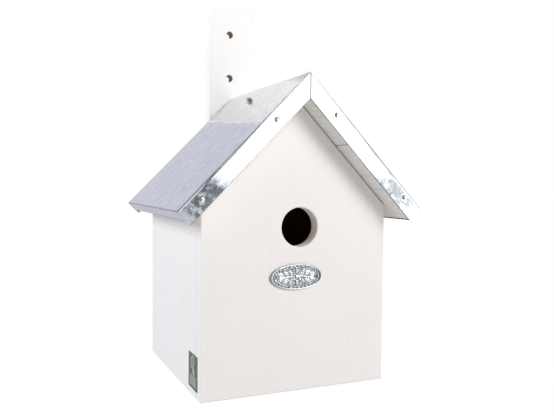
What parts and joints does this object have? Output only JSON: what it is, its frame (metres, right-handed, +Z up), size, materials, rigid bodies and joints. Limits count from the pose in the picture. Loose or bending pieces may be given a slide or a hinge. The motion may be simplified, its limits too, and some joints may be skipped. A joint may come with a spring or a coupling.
{
  "type": "birdhouse",
  "caption": "Gabled nest box of whitewashed boards with a round entrance hole, a folded zinc roof sheet, a wall batten and a floor that swings down for cleaning.",
  "frame": {"origin": "under the middle of the outside box, on the surface that the box stands on", "axes": "+Z up, +X to the right when facing the entrance, +Y towards the wall that carries the batten"},
  "size_m": [0.212, 0.1972, 0.347],
  "materials": {
    "front_paint": "warm white wash with faint grain",
    "wall_paint": "white wash with faint grain",
    "board_wood": "thin white wash over sawn wood",
    "zinc": "bright spangled zinc",
    "nail_steel": "galvanised",
    "screw_steel": "yellow passivated",
    "plate_metal": "cast relief, polished rim",
    "label_film": "printed film",
    "clip_steel": "galvanised"
  },
  "bodies": {
    "house": {"front_panel": "front_paint", "back_panel": "wall_paint", "left_side": "wall_paint", "right_side": "wall_paint", "roof_board_left_upper": "board_wood", "roof_board_left_lower": "board_wood", "roof_board_right_upper": "board_wood", "roof_board_right_lower": "board_wood", "zinc_roof": "zinc", "front_lip_nails": "nail_steel", "back_lip_nails": "nail_steel", "roof_nails": "nail_steel", "front_wall_nails": "nail_steel", "back_wall_nails": "nail_steel", "mounting_batten": "wall_paint", "batten_screws": "screw_steel", "name_plate": "plate_metal", "plate_pins": "nail_steel", "side_label": "label_film", "floor_stop": "board_wood", "stop_nails": "nail_steel", "floor_pivots": "nail_steel"},
    "floor": {"floor_panel": "wall_paint", "latch_screw": "screw_steel"},
    "clip": {"latch_clip": "clip_steel"}
  },
  "joints": [
    {"name": "floor_hinge", "type": "hinge", "parent": "house", "child": "floor", "pos_m": [0, 0.0681, 0.016], "axis": [1, 0, 0], "range_deg": [0, 90]},
    {"name": "clip_swivel", "type": "hinge", "parent": "floor", "child": "clip", "pos_m": [0, -0.0514, 0.00895], "axis": [0, 0, 1], "range_deg": [0, 90]}
  ]
}
